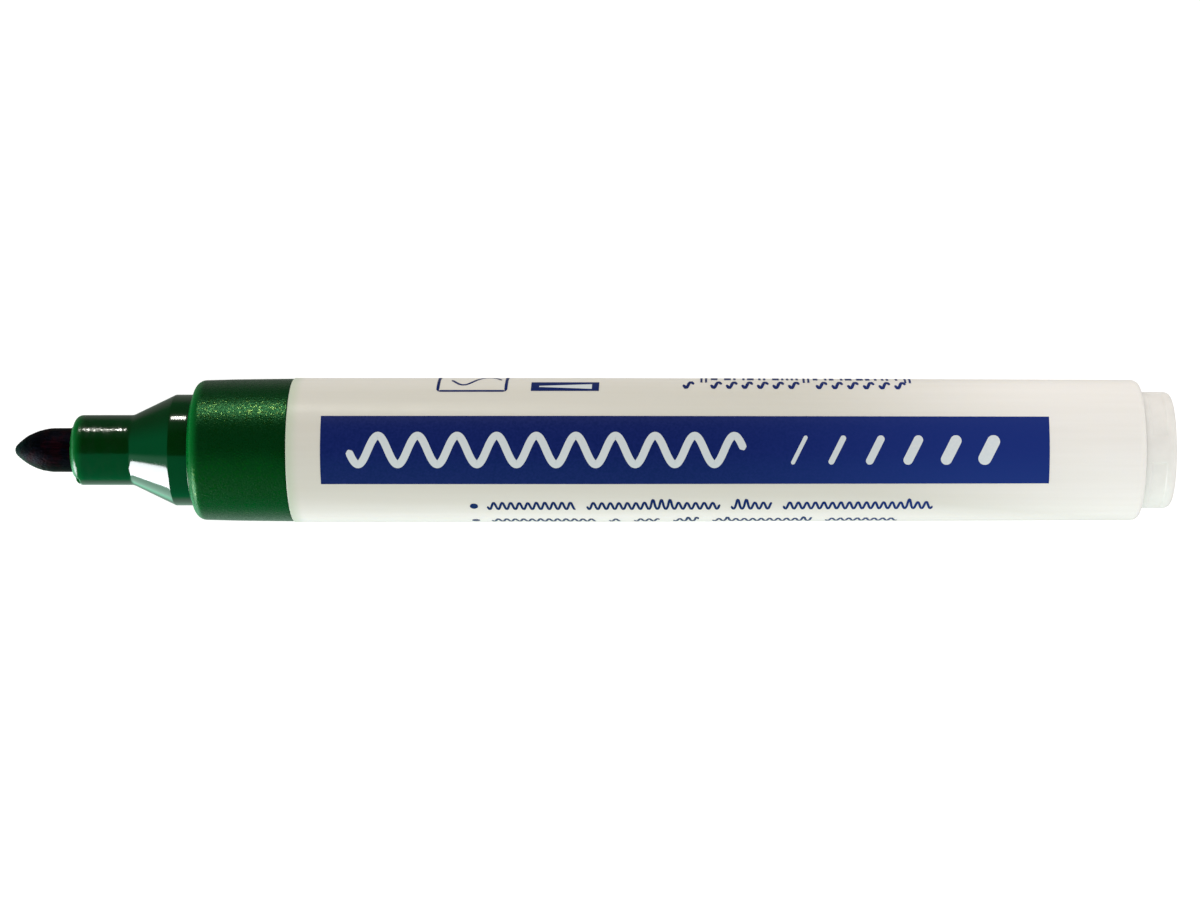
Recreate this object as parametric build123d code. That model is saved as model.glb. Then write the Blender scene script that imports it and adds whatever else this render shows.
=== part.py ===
from build123d import *
import math
import os

# Bullet-tip whiteboard marker with its cap off: six separate pieces round one axis.
#
# The marker lies along X with its printed side up (+Z), nib towards -X, end plug towards +X. The origin is on
# its axis, midway along its length. Every profile is drawn as (distance behind the nib's tip, radius) in
# millimetres, and turned about X.

# Overall: distances are measured backwards from the nib's tip, in millimetres.
LENGTH = 130.6

# Nib: a cylinder with a pointed arch (ogive) for a nose and a cut-down tail
NIB_R = 2.50
NIB_TIP_R = 0.90
NIB_OGIVE_R = 6.22
NIB_LENGTH = 38.0
NIB_TAIL_LENGTH = 1.6
NIB_TAIL_R = 1.3

# Front section: nib tube, cone, cap collar and textured sleeve in one moulding, with a skirt in the barrel
NOSE_START = 6.44
NOSE_LEAN = 0.54  # how far the nose face leans back by the tube's outside
NOSE_ROUND = 0.85
TUBE_R = 3.96
CONE_START, CONE_END = 13.47, 18.28
COLLAR_R = 6.27
SLEEVE_START = 20.07
SLEEVE_LEAN = 0.83  # how far the sleeve's front face leans back by its outside
SLEEVE_FRONT_R, SLEEVE_MID_R, SLEEVE_REAR_R = 7.88, 7.99, 8.07
SLEEVE_ROUND = 1.15
SLEEVE_MID = 25.0
SEAM = 31.64  # where the sleeve meets the barrel
SEAM_ROUND = 0.12
SKIRT_R, SKIRT_END = 6.70, 43.6
SKIRT_BEAD, BEAD_WIDTH, BEAD_POSITIONS = 0.04, 1.0, (35.0, 39.0)
SEAT_R, SEAT_START = 5.90, 21.0  # the pocket that takes the reservoir's front end
CHAMBER_R = 4.70  # the funnel between the reservoir and the nib bore
NIB_BORE_R, NIB_BORE_END = 2.54, 16.5
VENT_COUNT, VENT_WIDTH, VENT_R = 3, 0.85, 2.98
NOTCH_DEPTH, NOTCH_WIDTH = 0.40, 1.6
NOTCH_ANGLE = 68.0  # degrees round from the printed side, towards -Y

# Barrel: a tube, straight at the front and drawn in towards the rear, with ribs that centre the reservoir
BARREL_R, BARREL_REAR_R = 8.15, 7.94
STRAIGHT_END = 66.2
BARREL_END = 127.24
BARREL_ROUND = 0.95
BARREL_END_LEAN = 0.35
BORE_FRONT_R, BORE_REAR_R = 6.76, 6.62
BORE_END = 117.0
RIB_COUNT, RIB_WIDTH, RIB_R = 6, 0.8, 5.86
RIB_START = 45.0
PLUG_SEAT_R = 6.06

# Reservoir: a fibre rod in a thin film tube
FILM_R, FILM_WALL = 5.75, 0.12
RESERVOIR_START, RESERVOIR_END = 21.2, 113.8
FIT_GAP = 0.02
NIB_SOCKET_R, NIB_SOCKET_END = 2.54, 38.4

# End plug: a head that the cap posts on, a hollow spigot in the barrel, and crossed ribs inside it
PLUG_R = 6.565
PLUG_ROUND = 0.80
PANEL_COUNT, PANEL_DEPTH, PANEL_RIB_WIDTH = 4, 0.12, 3.0
PANEL_START, PANEL_END = 127.75, 129.45
SPIGOT_R, SPIGOT_START = 5.96, 118.4
SPIGOT_BEAD, SPIGOT_BEADS = 0.07, (120.4, 124.0)
SPIGOT_WALL = 1.1
PLUG_END_WALL = 1.5
CROSS_START, CROSS_WIDTH, CROSS_R = 114.4, 1.2, 4.9
DIMPLE_R, DIMPLE_DEPTH = 1.6, 0.25


def turned(points, rounds=()):
    """A solid turned about X from a closed outline of (distance, radius), with corners rounded.

    rounds holds (distance, radius, rounding) for each corner to round.
    """
    outline = Polyline(*[(x - LENGTH / 2, r) for x, r in points], close=True)
    face = make_face(outline)
    for x, r, size in rounds:
        place = Vector(x - LENGTH / 2, r)
        corner = min(face.vertices(), key=lambda v: (Vector(*v) - place).length)
        face = fillet(corner, size)
    return revolve(face, Axis.X)


def tube(start, end, outer, inner):
    """A straight tube, or a rod if inner is 0."""
    return turned([(start, inner), (end, inner), (end, outer), (start, outer)])


def strips(count, start, end, low, high, width, first=0.0):
    """Straight blocks that run along the marker between two radii, spaced evenly round it.

    first is the first block's place in degrees round from the printed side, towards -Y.
    """
    block = Box(end - start, width, high - low)
    block = Pos((start + end) / 2 - LENGTH / 2, 0, (low + high) / 2) * block
    return [block.rotate(Axis.X, first + i * 360 / count) for i in range(count)]


def make_nib():
    drop = NIB_OGIVE_R - NIB_R
    reach = math.sqrt((NIB_OGIVE_R - NIB_TIP_R) ** 2 - drop**2)
    shoulder = NIB_TIP_R + reach
    lean = math.atan2(drop, reach)
    blend = Vector(shoulder - NIB_OGIVE_R * math.cos(lean), NIB_OGIVE_R * math.sin(lean) - drop)
    shift = Vector(-LENGTH / 2, 0)
    half_lean = lean / 2
    tip_middle = Vector(NIB_TIP_R - NIB_TIP_R * math.cos(half_lean), NIB_TIP_R * math.sin(half_lean))
    arch = (lean + math.pi / 2) / 2
    arch_middle = Vector(shoulder - NIB_OGIVE_R * math.cos(arch), NIB_OGIVE_R * math.sin(arch) - drop)
    tail = NIB_LENGTH - NIB_TAIL_LENGTH
    edges = [
        ThreePointArc(shift, tip_middle + shift, blend + shift),
        ThreePointArc(blend + shift, arch_middle + shift, Vector(shoulder, NIB_R) + shift),
        Polyline(
            Vector(shoulder, NIB_R) + shift,
            Vector(tail, NIB_R) + shift,
            Vector(NIB_LENGTH, NIB_TAIL_R) + shift,
            Vector(NIB_LENGTH, 0) + shift,
            shift,
        ),
    ]
    return revolve(make_face(Curve() + edges), Axis.X)


def make_front_section():
    body = turned(
        [
            (NOSE_START, NIB_BORE_R),
            (NOSE_START + NOSE_LEAN, TUBE_R),
            (CONE_START, TUBE_R),
            (CONE_END, COLLAR_R),
            (SLEEVE_START, COLLAR_R),
            (SLEEVE_START + SLEEVE_LEAN, SLEEVE_FRONT_R),
            (SLEEVE_MID, SLEEVE_MID_R),
            (SEAM, SLEEVE_REAR_R),
            (SEAM, SKIRT_R),
            (SKIRT_END, SKIRT_R),
            (SKIRT_END, SEAT_R),
            (SEAT_START, SEAT_R),
            (SEAT_START, CHAMBER_R),
            (NIB_BORE_END, NIB_BORE_R),
        ],
        rounds=[
            (NOSE_START + NOSE_LEAN, TUBE_R, NOSE_ROUND),
            (CONE_START, TUBE_R, 1.2),
            (CONE_END, COLLAR_R, 0.4),
            (SLEEVE_START, COLLAR_R, 0.12),
            (SLEEVE_START + SLEEVE_LEAN, SLEEVE_FRONT_R, SLEEVE_ROUND),
            (SLEEVE_MID, SLEEVE_MID_R, 40.0),
            (SEAM, SLEEVE_REAR_R, SEAM_ROUND),
            (SKIRT_END, SKIRT_R, 0.3),
        ],
    )
    for place in BEAD_POSITIONS:
        body += tube(place, place + BEAD_WIDTH, SKIRT_R + SKIRT_BEAD, SKIRT_R - 0.2)
    for vent in strips(
        VENT_COUNT, NOSE_START - 1, NIB_BORE_END + 2, NIB_BORE_R - 1, VENT_R, VENT_WIDTH, NOTCH_ANGLE
    ):
        body -= vent
    notch_end = NOSE_START + NOSE_LEAN + NOTCH_DEPTH
    for notch in strips(1, NOSE_START - 1, notch_end, NIB_R, TUBE_R + 1, NOTCH_WIDTH, NOTCH_ANGLE):
        body -= notch
    return body


def make_barrel():
    shell = turned(
        [
            (SEAM, BORE_FRONT_R),
            (SEAM, BARREL_R),
            (STRAIGHT_END, BARREL_R),
            (BARREL_END - BARREL_END_LEAN, BARREL_REAR_R),
            (BARREL_END, PLUG_SEAT_R),
            (BORE_END, PLUG_SEAT_R),
            (BORE_END - 0.6, BORE_REAR_R),
        ],
        rounds=[
            (SEAM, BARREL_R, SEAM_ROUND),
            (BARREL_END - BARREL_END_LEAN, BARREL_REAR_R, BARREL_ROUND),
        ],
    )
    # Each rib is sunk a little into the wall, so that it joins the shell along its whole length.
    for rib in strips(RIB_COUNT, RIB_START, BORE_END, RIB_R, BORE_FRONT_R + 0.3, RIB_WIDTH, 30.0):
        shell += rib
    return shell


def make_reservoir_core():
    radius = FILM_R - FILM_WALL - FIT_GAP
    rod = tube(RESERVOIR_START, RESERVOIR_END, radius, 0)
    socket = turned(
        [
            (RESERVOIR_START - 1, 0),
            (RESERVOIR_START - 1, NIB_SOCKET_R),
            (NIB_SOCKET_END - NIB_TAIL_LENGTH, NIB_SOCKET_R),
            (NIB_SOCKET_END, NIB_TAIL_R + 0.1),
            (NIB_SOCKET_END, 0),
        ]
    )
    return rod - socket


def make_reservoir_film():
    return tube(RESERVOIR_START - 0.1, RESERVOIR_END + 0.3, FILM_R, FILM_R - FILM_WALL)


def make_end_plug():
    spigot_bore = SPIGOT_R - SPIGOT_WALL
    plug = turned(
        [
            (SPIGOT_START, spigot_bore),
            (SPIGOT_START, SPIGOT_R),
            (BARREL_END + FIT_GAP, SPIGOT_R),
            (BARREL_END + FIT_GAP, PLUG_R),
            (LENGTH, PLUG_R),
            (LENGTH, 0),
            (LENGTH - PLUG_END_WALL, 0),
            (LENGTH - PLUG_END_WALL, spigot_bore),
        ],
        rounds=[(LENGTH, PLUG_R, PLUG_ROUND), (SPIGOT_START, SPIGOT_R, 0.25)],
    )
    for place in SPIGOT_BEADS:
        plug += tube(place, place + BEAD_WIDTH, SPIGOT_R + SPIGOT_BEAD, SPIGOT_R - 0.3)
    for blade in strips(2, CROSS_START, LENGTH - 1.0, -CROSS_R, CROSS_R, CROSS_WIDTH, 45.0):
        plug += blade & tube(CROSS_START, LENGTH - 1.0, CROSS_R, 0)
    # The shallow panels round the head leave ribs between them, one rib on the printed side.
    ring = tube(PANEL_START, PANEL_END, PLUG_R + 1, PLUG_R - PANEL_DEPTH)
    for rib in strips(PANEL_COUNT, PANEL_START - 1, PANEL_END + 1, 0, PLUG_R + 2, PANEL_RIB_WIDTH):
        ring -= rib
    plug -= ring
    return plug - tube(LENGTH - DIMPLE_DEPTH, LENGTH + 1, DIMPLE_R, 0)


PIECES = {
    "nib": make_nib,
    "front_section": make_front_section,
    "barrel": make_barrel,
    "reservoir_core": make_reservoir_core,
    "reservoir_film": make_reservoir_film,
    "end_plug": make_end_plug,
}

os.makedirs("parts", exist_ok=True)
for name, make in PIECES.items():
    export_step(make(), f"parts/{name}.step")
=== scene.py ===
"""The looks of an uncapped whiteboard marker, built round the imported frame.

Lengths are in millimetres and turned into metres where a mesh is made. Places along the marker are
counted from the nib's tip. Angles round it are in degrees from the top, where the printed panel is,
and grow towards -Y.
"""

import math
import random

import bpy
import bmesh
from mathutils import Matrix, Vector, noise


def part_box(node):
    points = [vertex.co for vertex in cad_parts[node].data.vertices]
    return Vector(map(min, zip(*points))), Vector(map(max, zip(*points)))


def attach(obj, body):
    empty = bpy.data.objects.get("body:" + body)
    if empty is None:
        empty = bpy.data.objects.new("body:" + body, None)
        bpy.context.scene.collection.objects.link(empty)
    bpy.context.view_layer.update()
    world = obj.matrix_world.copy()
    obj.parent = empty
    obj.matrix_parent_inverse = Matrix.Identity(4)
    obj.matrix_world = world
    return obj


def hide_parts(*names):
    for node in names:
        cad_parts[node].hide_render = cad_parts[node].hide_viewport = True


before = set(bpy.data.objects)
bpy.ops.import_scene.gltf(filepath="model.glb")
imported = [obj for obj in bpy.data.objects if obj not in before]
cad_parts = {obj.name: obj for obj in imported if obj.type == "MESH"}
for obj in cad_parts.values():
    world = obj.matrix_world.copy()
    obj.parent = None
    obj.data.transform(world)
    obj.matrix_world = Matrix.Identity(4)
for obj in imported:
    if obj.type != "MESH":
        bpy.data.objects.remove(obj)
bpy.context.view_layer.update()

# ---------------------------------------------------------------- sizes, from the frame where it gives them
MM = 0.001
TIP_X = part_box("nib")[0].x


def start_of(part):
    return (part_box(part)[0].x - TIP_X) / MM


def end_of(part):
    return (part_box(part)[1].x - TIP_X) / MM


def widest(part):
    return max(math.hypot(v.co.y, v.co.z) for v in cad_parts[part].data.vertices) / MM


LENGTH = end_of("end_plug")

# Nib: a blunt point, an arch up to the full radius, and a tapered tail inside
NIB_R, NIB_LENGTH = widest("nib"), end_of("nib")
NIB_TIP_R, NIB_ARCH_R = 0.90, 6.22
NIB_TAIL_LENGTH, NIB_TAIL_R = 1.6, 1.3
GRIND_START, GRIND_END = 3.2, 5.6
FIBRE_DEPTH, CUT_DEPTH, LUMP_DEPTH, FIBRE_SINK = 0.018, 0.035, 0.03, 0.02

# Front section: its nose lies a little behind the CAD's front face
NOSE_SET_BACK = 0.2
NOSE_START, NOSE_LEAN, NOSE_ROUND = start_of("front_section") + NOSE_SET_BACK, 0.52, 0.88
TUBE_R = 3.96
CONE_START, CONE_END = 13.47, 18.28
COLLAR_R = 6.27
SLEEVE_START, SLEEVE_LEAN, SLEEVE_ROUND = 20.4, 0.5, 1.15
SLEEVE_FRONT_R, SLEEVE_MID_R, SLEEVE_MID = 7.88, 7.99, 25.0
SEAM = start_of("barrel")
SLEEVE_REAR_R, SEAM_ROUND = widest("front_section"), 0.12
SKIRT_R, SKIRT_END = 6.70, end_of("front_section")
SEAT_R, SEAT_START, CHAMBER_R = 5.90, 21.0, 4.70
NIB_BORE_R, NIB_BORE_END = 2.54, 16.5
VENT_COUNT, VENT_WIDTH, VENT_DEPTH = 3, 0.85, 0.44
NOTCH_DEPTH, NOTCH_WIDTH, NOTCH_ANGLE = 0.40, 1.6, 68.0

# Barrel
BARREL_R, BARREL_REAR_R = widest("barrel"), 7.94
STRAIGHT_END, BARREL_END = 66.2, end_of("barrel")
BARREL_ROUND, BARREL_END_LEAN = 0.95, 0.35
BORE_FRONT_R, BORE_REAR_R, BORE_END = 6.76, 6.62, 117.0
RIB_COUNT, RIB_WIDTH, RIB_R, RIB_START, RIB_FIRST = 6, 0.8, 5.86, 45.0, 30.0
PLUG_SEAT_R = 6.06

# End plug: its flange is slanted to lie against the barrel's end
PLUG_R, PLUG_ROUND = widest("end_plug"), 0.80
FLANGE_GAP = 0.003
PANEL_COUNT, PANEL_DEPTH, PANEL_RIB_WIDTH = 4, 0.12, 3.0
PANEL_START, PANEL_END = 127.75, 129.45
SPIGOT_R, SPIGOT_START, SPIGOT_WALL = 5.96, 118.4, 1.1
PLUG_END_WALL = 1.5
CROSS_START, CROSS_WIDTH, CROSS_R, CROSS_ANGLES = start_of("end_plug"), 1.2, 4.9, (45, 135)
DIMPLE_R, DIMPLE_DEPTH = 1.6, 0.25

# Print: it stands proud of the barrel by the ink's thickness, and the pale marks on the blue a little more
INK = 0.02
PALE_INK = 1.6 * INK
ACROSS_STROKE = (-1, -0.5, 0, 0.5, 1)
PANEL_PRINT, PANEL_PRINT_HALF = (35.5, 116.2), 27.6

# Pale marks on the panel: a wavy line and slanted dashes
MARK_HALF, MARK_STROKE = 14.3, 0.86
WAVY_LINE, WAVE_COUNT = (38.6, 82.4), 10
DASHES, DASH_COUNT, DASH_LEAN = (86.4, 111.6), 6, 0.8
DASH_FINEST, DASH_GROWTH = 0.45, 1.0

# Lines of small waves. Each: the dot's distance, its angle, the gap behind it, the runs, the gap between runs
LINES = (
    (52.3, -50.2, 1.5, (9.8, 14.8, 4.5, 16.6), 1.3),
    (52.3, -75.5, 1.8, (11.6, 1.2, 2.8, 2.8, 11.1, 8.0), 1.6),
)
DOT_HALF, DOT_STROKE = 0.45, 0.9
TEXT_PITCH, TEXT_HALF, TEXT_STROKE = 0.95, 0.58, 0.27
TEXT_HEIGHTS = (0.94, 1.0, 1.0, 1.06, 1.8)

# The open box with a wave in it, and the filled box with a wedge: distances, then angles
OPEN_BOX, OPEN_BOX_STROKE = (48.2, 55.8, -108.0, -54.0), 0.33
BOX_WAVE, BOX_WAVE_ANGLE, BOX_WAVE_HALF, BOX_WAVE_STROKE = (49.6, 55.2), -74, 1.5, 0.3
FILLED_BOX = (58.6, 66.2, -68.5, -54.0)
WEDGE_START, WEDGE_LENGTH, WEDGE_ANGLE, WEDGE_ROWS = 59.5, 5.9, -60.5, 24
WEDGE_HALF, WEDGE_GROWTH = 0.12, 0.42

# The bars: two groups between three pairs of longer ones, over a row of wavy ticks
BAR_GROUPS, BAR_TOP, BAR_FOOT = ((78.7, 88.4), (90.2, 99.8)), -112.0, -76.0
BAR_WIDTHS, BAR_GAPS = (0.26, 0.26, 0.5, 0.74), (0.28, 0.28, 0.52, 0.76)
GUARDS, GUARD_FOOT, GUARD_SPREAD, GUARD_HALF = (77.9, 89.4, 100.8), -69.0, 0.26, 0.12
LONE_TICK, TICK_GROUPS, TICKS_IN_GROUP = 76.2, ((79.3, 1.74), (91.1, 1.76)), 6
TICK_ANGLE, TICK_HALF, TICK_SWING, TICK_STROKE = -64.5, 0.55, 0.85, 0.36

# Where the darker front, partly the reservoir showing through and partly painted shade, fades from the
# barrel, aslant, and from the ink
BARREL_FADE, FADE_SLANT, INK_FADE = (88.0, 124.0), 0.8, (70.0, 118.0)

# Fineness of the meshes. Edges that turn by more than SHARP_EDGE degrees are shaded as sharp
SHARP_EDGE = 35
ROUNDING_STEP, ROUNDING_LEAST, ROUNDING_MOST = 0.08, 5, 60
NIB_SEGMENTS, FRONT_SEGMENTS, BARREL_SEGMENTS, PLUG_SEGMENTS = 260, 300, 360, 320
NIB_STEP, NIB_TIP_STEPS, NIB_ARCH_STEPS, NIB_TAIL_STEPS, NIB_END_STEPS = 0.14, 12, 52, 8, 6
PATCH_STEP, STROKE_STEP, FINE_STROKE_STEP, BOX_STROKE_STEP = 0.6, 0.1, 0.05, 0.3

# Camera: straight above the marker, off its middle
CAMERA_ALONG, CAMERA_HEIGHT = 79.5, 348.6
CAMERA_LENS, CAMERA_SHIFT = 92.4, -0.0983

# Half the floor's side and the lamps' distance, in metres
FLOOR_HALF, LAMP_DISTANCE = 3.0, 1.5


# ---------------------------------------------------------------- meshes
def place(x, r, angle):
    """The point x millimetres behind the tip, r from the axis and angle degrees from the top."""
    turn = math.radians(angle)
    return Vector((TIP_X + x * MM, -r * math.sin(turn) * MM, r * math.cos(turn) * MM))


def smooth_step(value, low, high):
    share = min(1.0, max(0.0, (value - low) / (high - low)))
    return share * share * (3 - 2 * share)


def band(value, low, high, soft):
    """1 between low and high, falling to 0 over soft at each side."""
    half = soft / 2
    return smooth_step(value, low - half, low + half) * (1 - smooth_step(value, high - half, high + half))


def off_spoke(angle, first, count):
    """How many degrees an angle is away from the nearest of count evenly spaced spokes."""
    pitch = 360 / count
    return abs((angle - first + pitch / 2) % pitch - pitch / 2)


def arc_points(centre, start, turn, count):
    """Points on an arc from start about centre, through turn radians, both ends included."""
    arm = start - centre
    points = []
    for i in range(count + 1):
        a = turn * i / count
        points.append(centre + Vector((
            arm.x * math.cos(a) - arm.y * math.sin(a),
            arm.x * math.sin(a) + arm.y * math.cos(a),
        )))
    return points


def rounding(before, here, after, size):
    """Points round the corner here, between the corners before and after it."""
    back = (before - here).normalized()
    ahead = (after - here).normalized()
    opening = back.angle(ahead)
    start = here + back * size / math.tan(opening / 2)
    centre = here + (back + ahead).normalized() * size / math.sin(opening / 2)
    turn = -math.copysign(math.pi - opening, back.x * ahead.y - back.y * ahead.x)
    count = max(ROUNDING_LEAST, math.ceil((math.pi - opening) * size / ROUNDING_STEP))
    return arc_points(centre, start, turn, min(count, ROUNDING_MOST))


def outline(corners, closed=True):
    """Points along an outline of (distance, radius, rounding, step to the next corner) corners."""
    places = [Vector(corner[:2]) for corner in corners]
    runs = []
    for i, here in enumerate(places):
        size = corners[i][2]
        after = places[(i + 1) % len(places)]
        runs.append(rounding(places[i - 1], here, after, size) if size else [here])
    points = []
    for i, run in enumerate(runs):
        points += run
        if i == len(runs) - 1 and not closed:
            break
        start, end = run[-1], runs[(i + 1) % len(runs)][0]
        count = max(1, math.ceil((end - start).length / corners[i][3]))
        points += [start.lerp(end, k / count) for k in range(1, count)]
    return [(p.x, p.y) for p in points]


def add_object(name, vertices, faces, slots=None):
    mesh = bpy.data.meshes.new(name)
    mesh.from_pydata(vertices, [], faces)
    if slots:
        mesh.polygons.foreach_set("material_index", slots)
    mesh.polygons.foreach_set("use_smooth", [True] * len(mesh.polygons))
    made = bmesh.new()
    made.from_mesh(mesh)
    bmesh.ops.recalc_face_normals(made, faces=made.faces)
    made.to_mesh(mesh)
    made.free()
    mesh.set_sharp_from_angle(angle=math.radians(SHARP_EDGE))
    piece = bpy.data.objects.new(name, mesh)
    bpy.context.scene.collection.objects.link(piece)
    return piece


def turned_rings(points, segments, shape):
    """The vertices of a turned mesh and, for each point of its outline, their numbers round the axis."""
    vertices, rings = [], []
    for x, r in points:
        if r < 1e-6:
            rings.append([len(vertices)] * segments)
            vertices.append(place(x, 0, 0))
            continue
        rings.append(list(range(len(vertices), len(vertices) + segments)))
        for k in range(segments):
            angle = 360 * k / segments
            moved_x, moved_r = shape(x, r, angle)
            vertices.append(place(moved_x, moved_r, angle))
    return vertices, rings


def lathe(name, points, segments, shape, slot_of=None, closed=True):
    """A mesh turned about the axis.

    shape(x, r, angle) says where a point of the outline ends up. slot_of(x, r) picks a face's material slot.
    """
    vertices, rings = turned_rings(points, segments, shape)
    faces, slots = [], []
    last = len(points) if closed else len(points) - 1
    for i in range(last):
        here, there = rings[i], rings[(i + 1) % len(rings)]
        x = (points[i][0] + points[(i + 1) % len(points)][0]) / 2
        r = (points[i][1] + points[(i + 1) % len(points)][1]) / 2
        slot = slot_of(x, r) if slot_of else 0
        for k in range(segments):
            after = (k + 1) % segments
            corners = []
            for corner in (here[k], here[after], there[after], there[k]):
                if corner not in corners:
                    corners.append(corner)
            faces.append(corners)
            slots.append(slot)
    return add_object(name, vertices, faces, slots)


# ---------------------------------------------------------------- the pieces
def nib_outline():
    drop = NIB_ARCH_R - NIB_R
    reach = math.sqrt((NIB_ARCH_R - NIB_TIP_R) ** 2 - drop**2)
    shoulder = NIB_TIP_R + reach
    lean = math.atan2(drop, reach)
    tip_arc = arc_points(Vector((NIB_TIP_R, 0)), Vector((0, 0)), -lean, NIB_TIP_STEPS)
    arch = arc_points(Vector((shoulder, -drop)), tip_arc[-1], lean - math.pi / 2, NIB_ARCH_STEPS)
    points = [(p.x, p.y) for p in tip_arc[:-1] + arch]
    points[0] = (0.0, 0.0)
    tail = NIB_LENGTH - NIB_TAIL_LENGTH
    steps = math.ceil((tail - shoulder) / NIB_STEP)
    points += [(shoulder + (tail - shoulder) * i / steps, NIB_R) for i in range(1, steps + 1)]
    for i in range(1, NIB_TAIL_STEPS + 1):
        r = NIB_R + (NIB_TAIL_R - NIB_R) * i / NIB_TAIL_STEPS
        points.append((tail + NIB_TAIL_LENGTH * i / NIB_TAIL_STEPS, r))
    points += [(NIB_LENGTH, NIB_TAIL_R * (1 - i / NIB_END_STEPS)) for i in range(1, NIB_END_STEPS)]
    return points + [(NIB_LENGTH, 0.0)]


def fibre_noise(x, across, per_mm_along, per_mm_across, shift=(0, 0, 0)):
    spot = Vector((x * per_mm_along, across.x * per_mm_across, across.y * per_mm_across))
    return noise.noise(spot + Vector(shift))


def fibre_shape(x, r, angle):
    """Fibres that run along the nib, showing their cut ends where it is ground to a point."""
    turn = math.radians(angle)
    across = Vector((math.cos(turn), math.sin(turn), 0)) * r
    along_fibre = fibre_noise(x, across, 0.5, 7.0)
    cut_end = fibre_noise(x, across, 6.0, 6.5)
    lump = fibre_noise(x, across, 1.1, 1.3, shift=(7, 3, 1))
    ground = 1 - smooth_step(x, GRIND_START, GRIND_END)
    depth = FIBRE_DEPTH * along_fibre * (1 - 0.6 * ground)
    depth += CUT_DEPTH * cut_end * ground + LUMP_DEPTH * lump * ground
    off_axis = smooth_step(r, 0.15, 0.8)
    return x - FIBRE_SINK * cut_end * (1 - off_axis) * ground, r + (depth - FIBRE_SINK) * off_axis


def make_nib():
    return lathe("nib_fibre", nib_outline(), NIB_SEGMENTS, fibre_shape, closed=False)


def front_shape(x, r, angle):
    """Cuts the vents into the nib's bore and the notch into the nose."""
    if r < NIB_BORE_R + 0.02 and x < NIB_BORE_END + 0.1:
        half = math.degrees(VENT_WIDTH / 2 / NIB_BORE_R)
        open_share = 1 - smooth_step(off_spoke(angle, NOTCH_ANGLE, VENT_COUNT), half - 1.5, half + 1.5)
        r += VENT_DEPTH * open_share
    on_nose = 1 - smooth_step(x, NOSE_START + NOSE_LEAN - 0.1, NOSE_START + NOSE_LEAN + 0.6)
    if on_nose and r > NIB_BORE_R - 0.01:
        half = math.degrees(NOTCH_WIDTH / 2 / r)
        off = off_spoke(angle, NOTCH_ANGLE, 1)
        x += NOTCH_DEPTH * on_nose * (1 - smooth_step(off, half - 1.0, half + 1.5))
    return x, r


POLISHED, TEXTURED = 0, 1


def front_slot(x, r):
    """The sleeve's outer face is textured, and all the rest is polished."""
    on_sleeve = SLEEVE_START - 0.15 < x < SEAM and r > COLLAR_R + 0.005
    return TEXTURED if on_sleeve else POLISHED


def make_front_section():
    corners = [
        (NOSE_START, NIB_BORE_R, 0.10, 0.09),
        (NOSE_START + NOSE_LEAN, TUBE_R, NOSE_ROUND, 0.25),
        (CONE_START, TUBE_R, 1.2, 0.25),
        (CONE_END, COLLAR_R, 0.4, 0.25),
        (SLEEVE_START, COLLAR_R, 0.06, 0.12),
        (SLEEVE_START + SLEEVE_LEAN, SLEEVE_FRONT_R, SLEEVE_ROUND, 0.2),
        (SLEEVE_MID, SLEEVE_MID_R, 40.0, 0.3),
        (SEAM, SLEEVE_REAR_R, SEAM_ROUND, 0.3),
        (SEAM, SKIRT_R, 0.05, 0.5),
        (SKIRT_END, SKIRT_R, 0.3, 0.3),
        (SKIRT_END, SEAT_R, 0.1, 0.6),
        (SEAT_START, SEAT_R, 0.1, 0.4),
        (SEAT_START, CHAMBER_R, 0.2, 0.4),
        (NIB_BORE_END, NIB_BORE_R, 0.2, 0.4),
    ]
    return lathe("front_moulding", outline(corners), FRONT_SEGMENTS, front_shape, slot_of=front_slot)


def barrel_shape(x, r, angle):
    """Raises the ribs inside the barrel that carry the reservoir."""
    in_bore = PLUG_SEAT_R + 0.1 < r < BORE_FRONT_R + 0.05
    if in_bore and RIB_START - 0.2 < x < BORE_END - 0.3:
        half = math.degrees(RIB_WIDTH / 2 / r)
        on_rib = 1 - smooth_step(off_spoke(angle, RIB_FIRST, RIB_COUNT), half - 0.5, half + 0.5)
        r += (RIB_R - r) * on_rib * smooth_step(x, RIB_START, RIB_START + 0.8)
    return x, r


def make_barrel():
    corners = [
        (SEAM, BORE_FRONT_R, 0.06, 0.3),
        (SEAM, BARREL_R, SEAM_ROUND, 0.6),
        (STRAIGHT_END, BARREL_R, 0, 0.6),
        (BARREL_END - BARREL_END_LEAN, BARREL_REAR_R, BARREL_ROUND, 0.2),
        (BARREL_END, PLUG_SEAT_R, 0.12, 0.5),
        (BORE_END, PLUG_SEAT_R, 0.05, 0.2),
        (BORE_END - 0.6, BORE_REAR_R, 0.05, 0.8),
    ]
    return lathe("barrel_tube", outline(corners), BARREL_SEGMENTS, barrel_shape)


def plug_shape(x, r, angle):
    """Sinks the panels between the ribs of the plug's rim."""
    if r > PLUG_R - 0.02:
        half = math.degrees(PANEL_RIB_WIDTH / 2 / PLUG_R)
        off_rib = smooth_step(off_spoke(angle, 0, PANEL_COUNT), half - 0.9, half + 0.9)
        r -= PANEL_DEPTH * off_rib * band(x, PANEL_START, PANEL_END, 0.3)
    return x, r


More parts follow.
